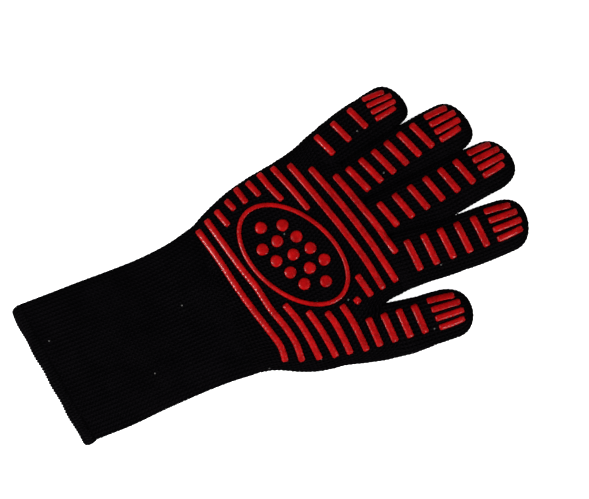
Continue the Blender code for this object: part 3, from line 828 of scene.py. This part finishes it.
def path_frame(path, closed):
    """How far along a plan path each of its points lies, and the direction across it there."""
    if closed:
        tangents = np.roll(path, -1, axis=0) - np.roll(path, 1, axis=0)
        lengths = np.linalg.norm(np.roll(path, -1, axis=0) - path, axis=1)
    else:
        tangents = np.gradient(path, axis=0)
        lengths = np.linalg.norm(np.diff(path, axis=0), axis=1)
    travelled = np.concatenate([[0.0], np.cumsum(lengths)])
    tangents /= np.linalg.norm(tangents, axis=1, keepdims=True)
    return travelled, np.column_stack([-tangents[:, 1], tangents[:, 0]])


def end_rounding(from_end):
    """1 along a strip, falling to a small share at its very end."""
    share = min(from_end / BAR_END_ROUND, 1.0)
    return max(1 - (1 - share) ** 2.4, 0.02) ** (1 / 2.4)


def strip_section(spot, across, swell, height_of):
    """A dome over the ground on both sides of a spot, with two feet below it. across is its half width."""
    reaches = (-1.0, -0.5, 0.0, 0.5, 1.0)
    seat = height_of(*spot)
    grounds = []
    for reach in reaches:
        z = height_of(*(spot + across * reach))
        grounds.append(seat - 1.5 if z is None else max(z, seat - 2.5))
    points = []
    for angle in np.linspace(0, math.pi, 9):
        reach = math.cos(angle)
        z = np.interp(reach, reaches, grounds)
        points.append((*(spot + across * reach), z + swell * math.sin(angle) ** 0.6))
    for reach, ground in ((-0.9, grounds[0]), (0.9, grounds[-1])):
        points.append((*(spot + across * reach), ground - BAR_SINK))
    return points


def bead_mesh(path, width, height_of, seed, closed=False):
    """Vertices and faces of a rounded silicone strip along a plan path, in millimetres."""
    path = np.array(path)
    travelled, sides = path_frame(path, closed)
    vertices = []
    for spot, side, s in zip(path, sides, travelled):
        shrink = 1.0 if closed else end_rounding(min(s, travelled[-1] - s))
        ripple = 0.035 * math.sin(2.1 * s + seed) + 0.03 * math.sin(3.7 * s + 2 * seed)
        half = width / 2 * (1 + ripple) * (BAR_END_WIDTH + (1 - BAR_END_WIDTH) * shrink)
        swell = BAR_HEIGHT * (1 + 0.09 * math.sin(2.33 * s + 1.7 * seed))
        swell *= BAR_END_HEIGHT + (1 - BAR_END_HEIGHT) * shrink
        section = strip_section(spot, side * half, swell, height_of)
        vertices += section
    per = len(section)
    rows = len(path)
    faces = []
    for j in range(rows if closed else rows - 1):
        near = j * per
        far = (j + 1) % rows * per
        for i in range(per):
            k = (i + 1) % per
            faces.append((near + i, near + k, far + k, far + i))
    if not closed:
        faces.append(tuple(reversed(range(per))))
        faces.append(tuple(range((rows - 1) * per, rows * per)))
    return vertices, faces


def bead_piece(name, meshes, material):
    """One object from several strips."""
    vertices = []
    faces = []
    for points, polygons in meshes:
        start = len(vertices)
        vertices += points
        faces += [tuple(index + start for index in polygon) for polygon in polygons]
    return link_mesh(name, np.array(vertices) * MM, faces, material)


def line_path(start, end):
    """Points at about STATION apart on a straight line."""
    start = np.array(start, float)
    end = np.array(end, float)
    steps = max(8, round(np.linalg.norm(end - start) / STATION))
    return [start + (end - start) * k / steps for k in range(steps + 1)]


def curve_path(points):
    """Points along a smooth curve that runs from left to right."""
    if len(points) == 2:
        return line_path(*points)
    reach = points[-1][0] - points[0][0]
    steps = round(reach / STATION)
    xs = [points[0][0] + reach * k / steps for k in range(steps + 1)]
    keys = [x for x, _ in points]
    heights = [y for _, y in points]
    return [np.array((x, smooth_curve(keys, heights, x))) for x in xs]


def oval_point(reach_u, reach_v):
    """Plan point at (u, v) in the oval's own axes."""
    x = OVAL_CENTRE[0] + reach_u * math.cos(OVAL_TILT) - reach_v * math.sin(OVAL_TILT)
    y = OVAL_CENTRE[1] + reach_u * math.sin(OVAL_TILT) + reach_v * math.cos(OVAL_TILT)
    return np.array((x, y))


def make_palm_bars(height_of, material):
    """The palm's bars. Those on the little finger's side are a little thinner."""
    pieces = []
    for number, points in enumerate(PALM_BARS, start=1):
        width = BAR_WIDTH if points[-1][0] > 0 else SIDE_BAR_WIDTH
        strip = bead_mesh(curve_path(points), width, height_of, number * 1.3)
        pieces.append(bead_piece(f"palm_print_{number:02d}", [strip], material))
    return pieces


def make_oval(height_of, material):
    """The oval ring in the middle of the palm."""
    steps = 260
    path = []
    for k in range(steps):
        angle = 2 * math.pi * k / steps
        path.append(oval_point(OVAL_HALF[0] * math.cos(angle), OVAL_HALF[1] * math.sin(angle)))
    return bead_piece("oval_print", [bead_mesh(path, OVAL_BEAD, height_of, 0.4, closed=True)], material)


def make_dots(height_of, material):
    """Plain round grip dots in three staggered rows."""
    meshes = [dot_mesh(oval_point(u, v), height_of) for v, places in DOT_ROWS for u in places]
    return bead_piece("dot_print", meshes, material)


def dot_mesh(centre, height_of):
    """A domed dot, from its sunken foot to its flat top."""
    around = 28
    vertices = []
    profile = ((1.0, -BAR_SINK), (1.0, 0.1), (0.93, 0.6), (0.78, 0.9), (0.5, 1.08), (0.2, 1.14))
    for share, lift in profile:
        for k in range(around):
            angle = 2 * math.pi * k / around
            radius = DOT_RADIUS * share * (1 + 0.025 * math.sin(3 * angle + centre[0]))
            x = centre[0] + radius * math.cos(angle)
            y = centre[1] + radius * math.sin(angle)
            vertices.append((x, y, height_of(x, y) + lift))
    faces = []
    for j in range(len(profile) - 1):
        for i in range(around):
            k = (i + 1) % around
            faces.append((j * around + i, j * around + k, (j + 1) * around + k, (j + 1) * around + i))
    faces.append(tuple(range((len(profile) - 1) * around, len(profile) * around)))
    faces.append(tuple(reversed(range(around))))
    return vertices, faces


def rung_centres(finger):
    """Plan points at equal distances, one for each rung of a finger."""
    first, last, count = RUNGS[finger][:3]
    first = np.array(first)
    last = np.array(last)
    return [first + (last - first) * k / (count - 1) for k in range(count)]


def make_rungs(finger, height_of, material):
    """One piece for each rung, with the y of its centre."""
    degrees, length, width = RUNGS[finger][3:]
    tilt = math.radians(degrees)
    reach = np.array((math.cos(tilt), math.sin(tilt))) * length / 2
    made = []
    for number, centre in enumerate(rung_centres(finger), start=1):
        strip = bead_mesh(line_path(centre - reach, centre + reach), width, height_of, centre[0] + number)
        made.append((centre[1], bead_piece(f"{finger}_rung_print_{number}", [strip], material)))
    return made


def make_tip_bars(finger, height_of, material):
    """The four lengthwise bars of a fingertip, which lean together a little towards the tip."""
    *corners, crown, width = TIP_BARS[finger]
    first_foot, last_foot, first_head, last_head = (np.array(corner) for corner in corners)
    lean = (0.9, 0.1, -0.1, -0.9)
    strips = []
    for k in range(4):
        foot = first_foot + (last_foot - first_foot) * k / 3
        head = first_head + (last_head - first_head) * k / 3
        if k in (1, 2):
            head[1] += crown
        inward = np.array((lean[k], 0.0))
        path = line_path(foot, head)
        path = [spot + inward * (j / (len(path) - 1)) ** 3 for j, spot in enumerate(path)]
        strips.append(bead_mesh(path, width, height_of, foot[0]))
    return bead_piece(f"{finger}_tip_print", strips, material)


# Joining the pieces to the frame

def bend(piece):
    """Bakes a piece's transform into its mesh."""
    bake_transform(piece)


def place_piece(piece, slot, *nodes):
    """Hides the CAD nodes that a piece stands for. The piece and the slot are not used."""
    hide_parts(*nodes)


def build_glove():
    """Makes every piece of the glove; the hem, the palm's liner and the silicone of the palm and fingertips
    are joined to the frame.
    """
    # Each knit material's colour is its lightest yarn colour: pale dye patches and the painted highlight on
    # raised loops
    knit = knit_material("black_knit", (0.0037, 0.0031, 0.0038), WALE, COURSE, 0.9)
    rib = knit_material("black_rib", (0.0037, 0.0032, 0.004), RIB, COURSE, 0.8)
    thread = knit_material("black_thread", (0.0052, 0.0047, 0.0056), HEM_PITCH, 1.1, 0.9)
    silicone = silicone_material()
    lining = lining_material()

    cuff = make_cuff(rib)
    place_piece(cuff, "knit", "cuff_shell")
    bend(cuff)
    hem = make_hem(thread)
    place_piece(hem, "hem_knit", "cuff_hem")
    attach(hem, "cuff")
    cuff_liner = make_cuff_liner(lining)
    place_piece(cuff_liner, "lining", "cuff_liner")
    bend(cuff_liner)

    palm, palm_surface = make_palm(knit)
    place_piece(palm, "knit", "palm_shell")
    bend(palm)
    palm_liner = make_palm_liner(lining)
    place_piece(palm_liner, "lining", "palm_liner")
    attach(palm_liner, "palm")

    surfaces = [palm_surface]
    for finger in FINGERS:
        lower, upper, smooth = make_finger(finger, knit)
        place_piece(lower, "knit", f"{finger}_base_shell")
        place_piece(upper, "knit", f"{finger}_tip_shell")
        bend(lower)
        bend(upper)
        lower, upper = make_finger_liner(finger, lining)
        place_piece(lower, "lining", f"{finger}_base_liner")
        place_piece(upper, "lining", f"{finger}_tip_liner")
        bend(lower)
        bend(upper)
        surfaces.append((smooth.reshape(-1, 3) * MM, grid_faces(*smooth.shape[:2])[0]))

    height_of = height_function(surfaces)
    for number, bar in enumerate(make_palm_bars(height_of, silicone), start=1):
        place_piece(bar, "silicone", f"palm_bar_{number:02d}")
        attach(bar, "palm")
    oval = make_oval(height_of, silicone)
    place_piece(oval, "silicone", "oval_ring")
    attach(oval, "palm")
    dots = make_dots(height_of, silicone)
    place_piece(dots, "silicone", "grip_dots")
    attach(dots, "palm")
    for finger in FINGERS:
        attach_finger_prints(finger, height_of, silicone)


def attach_finger_prints(finger, height_of, silicone):
    """Makes a finger's rungs and tip bars; the tip bars are joined to the fingertip's body."""
    root_y, middle_y = finger_bends(finger)
    rooted = 0
    for y, rung in make_rungs(finger, height_of, silicone):
        if y < root_y:
            rooted += 1
            node = f"{finger}_root_rung_{rooted}"
        else:
            node = f"{finger}_base_grip" if y < middle_y else f"{finger}_tip_grip"
        place_piece(rung, "silicone", node)
        bend(rung)
    tips = make_tip_bars(finger, height_of, silicone)
    place_piece(tips, "silicone", f"{finger}_tip_grip")
    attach(tips, f"{finger}_tip")


# Studio

IMAGE_RIGHT = Vector((0.410, 0.912, 0.0)).normalized()
IMAGE_UP = Vector((-0.912, 0.410, 0.0)).normalized()
VIEW_CENTRE = Vector((-0.0045, 0.0105, 0.012))
VIEW_WIDTH = 0.3952
LENS = 85.0
SENSOR = 36.0


def make_floor():
    """A white floor that gives soft light but no highlights on the silicone."""
    mesh = bpy.data.meshes.new("floor")
    size = 3.0
    corners = [(-size, -size, 0.0), (size, -size, 0.0), (size, size, 0.0), (-size, size, 0.0)]
    mesh.from_pydata(corners, [], [(0, 1, 2, 3)])
    material, tree, shader = new_material("white_floor", (0.93, 0.93, 0.93), 0.9, 0.1)
    shader.inputs["Emission Color"].default_value = (1.0, 1.0, 1.0, 1.0)
    shader.inputs["Emission Strength"].default_value = 0.85
    mesh.materials.append(material)
    floor = bpy.data.objects.new("floor", mesh)
    bpy.context.collection.objects.link(floor)
    floor.visible_glossy = False


def make_backdrop():
    """A white wall round the floor. Only the camera sees it, so it gives no light and no highlights."""
    mesh = bpy.data.meshes.new("backdrop")
    sides = 64
    radius = 2.9
    ring = [(radius * math.cos(2 * math.pi * k / sides), radius * math.sin(2 * math.pi * k / sides))
            for k in range(sides)]
    corners = [(x, y, z) for z in (-0.02, 2.4) for x, y in ring]
    faces = [(k, (k + 1) % sides, (k + 1) % sides + sides, k + sides) for k in range(sides)]
    mesh.from_pydata(corners, [], faces)
    material, _, shader = new_material("white_backdrop", (0.0, 0.0, 0.0), 1.0, 0.0)
    shader.inputs["Emission Color"].default_value = (1.0, 1.0, 1.0, 1.0)
    shader.inputs["Emission Strength"].default_value = 1.0
    mesh.materials.append(material)
    backdrop = bpy.data.objects.new("backdrop", mesh)
    bpy.context.collection.objects.link(backdrop)
    backdrop.visible_diffuse = False
    backdrop.visible_glossy = False
    backdrop.visible_transmission = False
    backdrop.visible_shadow = False


def add_area_light(name, direction, distance, size, power, glossy=True):
    """A square light that shines at the glove from a direction. Without glossy it gives no highlights."""
    data = bpy.data.lights.new(name, "AREA")
    data.shape = "SQUARE"
    data.size = size
    data.energy = power
    lamp = bpy.data.objects.new(name, data)
    bpy.context.collection.objects.link(lamp)
    lamp.location = VIEW_CENTRE + Vector(direction).normalized() * distance
    lamp.rotation_euler = (VIEW_CENTRE - lamp.location).to_track_quat("-Z", "Y").to_euler()
    lamp.visible_glossy = glossy


def make_studio():
    """Soft light from the left, the upper right and the lower right of the picture."""
    scene = bpy.context.scene
    scene.view_settings.view_transform = "Standard"
    world = bpy.data.worlds.new("studio")
    scene.world = world
    world.use_nodes = True
    world.node_tree.nodes["Background"].inputs["Color"].default_value = (1.0, 1.0, 1.0, 1.0)
    world.node_tree.nodes["Background"].inputs["Strength"].default_value = 0.12
    left = -IMAGE_RIGHT
    down = -IMAGE_UP
    up = Vector((0.0, 0.0, 1.0))
    add_area_light("key", left * 0.9 + down * 0.35 + up * 0.75, 1.3, 0.35, 20.5)
    add_area_light("fill", IMAGE_RIGHT * 1.0 + IMAGE_UP * 0.5 + up * 0.8, 1.6, 0.6, 11.0, glossy=False)
    add_area_light("side", down * 1.0 + IMAGE_RIGHT * 0.8 + up * 0.9, 1.2, 0.3, 8.5)


def make_camera():
    """A long lens straight above the glove, turned so that the fingers point to the upper right."""
    data = bpy.data.cameras.new("camera")
    data.lens = LENS
    data.sensor_width = SENSOR
    camera = bpy.data.objects.new("camera", data)
    bpy.context.collection.objects.link(camera)
    distance = VIEW_WIDTH * LENS / SENSOR
    back = Vector((0.0, 0.0, 1.0))
    camera.location = VIEW_CENTRE + back * distance
    matrix = camera.matrix_world.to_3x3()
    matrix.col[0] = IMAGE_RIGHT
    matrix.col[1] = IMAGE_UP
    matrix.col[2] = back
    camera.rotation_euler = matrix.to_euler()
    bpy.context.scene.camera = camera


build_glove()
make_floor()
make_backdrop()
make_studio()
make_camera()
